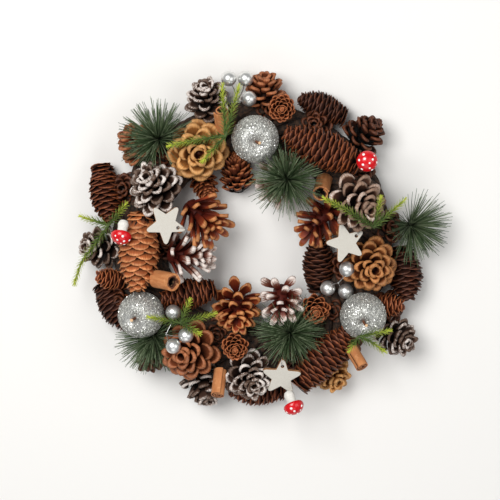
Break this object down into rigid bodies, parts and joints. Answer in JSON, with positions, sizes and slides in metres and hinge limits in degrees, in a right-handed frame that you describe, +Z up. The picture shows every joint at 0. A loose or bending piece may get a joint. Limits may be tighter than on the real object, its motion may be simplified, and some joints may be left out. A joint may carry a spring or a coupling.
{
  "type": "cone and fruit wreath",
  "caption": "Round decorative wreath of cones, glittered apples, toadstools, stars, pearls and greenery on a vine ring.",
  "frame": {"origin": "under the middle of the wreath, on the surface that it lies on", "axes": "+Z up, out of the front of the wreath as it lies on its back; +Y towards the top of its front"},
  "size_m": [0.363, 0.3292, 0.1137],
  "materials": {
    "vine": "rough dry vine",
    "spruce_cone": "dry scales, warm brown with paler rims",
    "dark_cone": "dry scales, dark brown",
    "tan_cone": "dry scales, light tan rims",
    "frosted_cone": "dry dark scales with white tips",
    "brown_cone": "dry scales, red brown",
    "silver_glitter": "covered in silver glitter flakes",
    "cinnamon_bark": "dry rolled bark",
    "painted_wood": "matt off-white paint, bare sawn edge",
    "red_cap": "glossy red with white dots",
    "pale_stalk": "matt off-white",
    "silver_pearl": "satin silver",
    "fir_needles": "green to yellow-green needles",
    "pine_needles": "long dark green needles"
  },
  "bodies": {
    "root": {"vine_ring": "vine", "cone_rim_left": "frosted_cone", "cone_rim_upper_left": "spruce_cone", "cone_rim_top_left": "brown_cone", "cone_rim_top_frosted": "frosted_cone", "cones_rim_top": "brown_cone", "cones_rim_top_right": "dark_cone", "cones_rim_right": "dark_cone", "cone_rim_bottom_right": "tan_cone", "cones_rim_bottom": "spruce_cone", "cone_rim_bottom_left": "frosted_cone", "cone_rim_lower_left": "dark_cone", "cones_rim_lower_left": "dark_cone", "cones_hole_top": "tan_cone", "cone_hole_top_right": "frosted_cone", "cone_hole_right": "tan_cone", "cones_hole_lower_right": "dark_cone", "cone_hole_bottom_frosted": "frosted_cone", "cone_hole_bottom": "brown_cone", "cone_hole_lower_left": "spruce_cone", "cones_hole_left": "tan_cone", "cone_left": "spruce_cone", "cone_frosted_left": "frosted_cone", "cone_top_tan": "tan_cone", "cone_top_right": "spruce_cone", "cone_frosted_right": "frosted_cone", "cone_right_tan": "tan_cone", "cone_lower_right": "spruce_cone", "cones_bottom": "frosted_cone", "cone_lower_left": "brown_cone", "apple_top": "silver_glitter", "apple_left": "silver_glitter", "apple_right": "silver_glitter", "cinnamon_top": "cinnamon_bark", "cinnamon_right": "cinnamon_bark", "cinnamon_left": "cinnamon_bark", "cinnamon_bottom": "cinnamon_bark", "cinnamon_lower_right": "cinnamon_bark", "star_left": "painted_wood", "star_right": "painted_wood", "star_bottom": "painted_wood", "toadstool_left_cap": "red_cap", "toadstool_left_stalk": "pale_stalk", "toadstool_right_cap": "red_cap", "toadstool_right_stalk": "pale_stalk", "toadstool_bottom_cap": "red_cap", "toadstool_bottom_stalk": "pale_stalk", "pearls_top": "silver_pearl", "pearls_right": "silver_pearl", "pearls_lower_left": "silver_pearl", "fir_top": "fir_needles", "fir_left": "fir_needles", "fir_right": "fir_needles", "fir_lower_left": "fir_needles", "fir_lower_right": "fir_needles", "pine_tuft_top": "pine_needles", "pine_tuft_bottom": "pine_needles", "pine_tuft_right": "pine_needles", "pine_tuft_lower_left": "pine_needles", "pine_tuft_upper_left": "pine_needles"}
  },
  "joints": []
}
